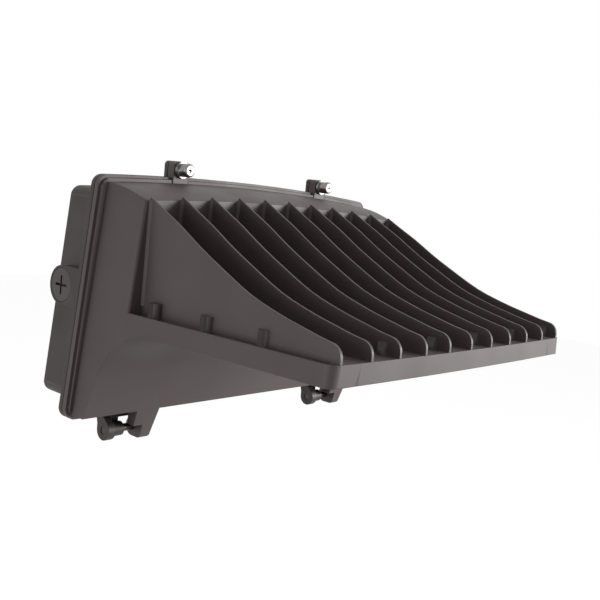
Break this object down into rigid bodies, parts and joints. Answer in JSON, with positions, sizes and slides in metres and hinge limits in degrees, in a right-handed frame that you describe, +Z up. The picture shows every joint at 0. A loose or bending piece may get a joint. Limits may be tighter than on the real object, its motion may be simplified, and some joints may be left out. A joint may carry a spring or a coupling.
{
  "type": "wall pack light",
  "caption": "Outdoor wall light: a cast finned hood with a flat lens below, hinged at its foot to a cast wall box and held shut by screws at its top.",
  "frame": {"origin": "centre of the rear wiring hole, on the wall face of the box", "axes": "+Y into the wall along the wiring hole, +Z up, +X to the right of somebody who faces the wall; the hood stands out towards -Y"},
  "size_m": [0.3386, 0.2713, 0.2145],
  "materials": {
    "box_paint": "dark bronze powder coat",
    "door_paint": "dark bronze powder coat",
    "rubber": "matt",
    "pin_steel": "plain",
    "stainless": "bright stainless",
    "plug_paint": "dark bronze powder coat",
    "board_white": "white solder resist on an aluminium core",
    "led_yellow": "phosphor",
    "screw_steel": "plain",
    "lens_glass": "clear",
    "frame_paint": "dark bronze powder coat",
    "driver_case": "white case",
    "terminal_plastic": "plain",
    "lead_black": "insulation",
    "lead_white": "insulation",
    "earth_green": "green"
  },
  "bodies": {
    "housing": {"rear_housing": "box_paint", "hinge_pin_left": "pin_steel", "hinge_pin_right": "pin_steel", "ground_screw": "earth_green"},
    "door": {"front_housing": "door_paint", "housing_gasket": "rubber", "led_board": "board_white", "led_packages": "led_yellow", "board_screws": "screw_steel", "lens_gasket": "rubber", "lens": "lens_glass", "lens_frame": "frame_paint", "lens_frame_screws": "screw_steel", "driver": "driver_case", "driver_screws": "screw_steel", "terminal_block": "terminal_plastic", "terminal_screws": "screw_steel", "output_leads": "lead_black", "input_leads": "lead_white"},
    "latch_washer_left": {"latch_washer_left": "stainless"},
    "latch_screw_left": {"latch_screw_left": "stainless"},
    "latch_washer_right": {"latch_washer_right": "stainless"},
    "latch_screw_right": {"latch_screw_right": "stainless"},
    "plug_seal_left": {"plug_seal_left": "rubber"},
    "conduit_plug_left": {"conduit_plug_left": "plug_paint"},
    "plug_seal_right": {"plug_seal_right": "rubber"},
    "conduit_plug_right": {"conduit_plug_right": "plug_paint"}
  },
  "joints": [
    {"name": "door_hinge", "type": "hinge", "parent": "housing", "child": "door", "pos_m": [0, -0.0455, -0.107], "axis": [1, 0, 0], "range_deg": [0, 95]},
    {"name": "latch_slide_left", "type": "slide", "parent": "door", "child": "latch_washer_left", "axis": [0, -1, 0], "range_m": [0, 0.0061]},
    {"name": "latch_spin_left", "type": "hinge", "parent": "latch_washer_left", "child": "latch_screw_left", "pos_m": [-0.083, -0.05, 0.0932], "axis": [0, -1, 0], "range_deg": [0, 2160]},
    {"name": "latch_slide_right", "type": "slide", "parent": "door", "child": "latch_washer_right", "axis": [0, -1, 0], "range_m": [0, 0.0061]},
    {"name": "latch_spin_right", "type": "hinge", "parent": "latch_washer_right", "child": "latch_screw_right", "pos_m": [0.083, -0.05, 0.0932], "axis": [0, -1, 0], "range_deg": [0, 2160]},
    {"name": "plug_slide_left", "type": "slide", "parent": "housing", "child": "plug_seal_left", "axis": [-1, 0, 0], "range_m": [0, 0.0128]},
    {"name": "plug_spin_left", "type": "hinge", "parent": "plug_seal_left", "child": "conduit_plug_left", "pos_m": [-0.1595, -0.0158, 0], "axis": [-1, 0, 0], "range_deg": [0, 2520]},
    {"name": "plug_slide_right", "type": "slide", "parent": "housing", "child": "plug_seal_right", "axis": [1, 0, 0], "range_m": [0, 0.0128]},
    {"name": "plug_spin_right", "type": "hinge", "parent": "plug_seal_right", "child": "conduit_plug_right", "pos_m": [0.1595, -0.0158, 0], "axis": [1, 0, 0], "range_deg": [0, 2520]}
  ],
  "couplings": [
    {"joint": "latch_slide_left", "follows": "latch_spin_left", "m_per_rad": 0.00015915},
    {"joint": "latch_slide_right", "follows": "latch_spin_right", "m_per_rad": 0.00015915},
    {"joint": "plug_slide_left", "follows": "plug_spin_left", "m_per_rad": 0.0002887},
    {"joint": "plug_slide_right", "follows": "plug_spin_right", "m_per_rad": 0.0002887}
  ]
}
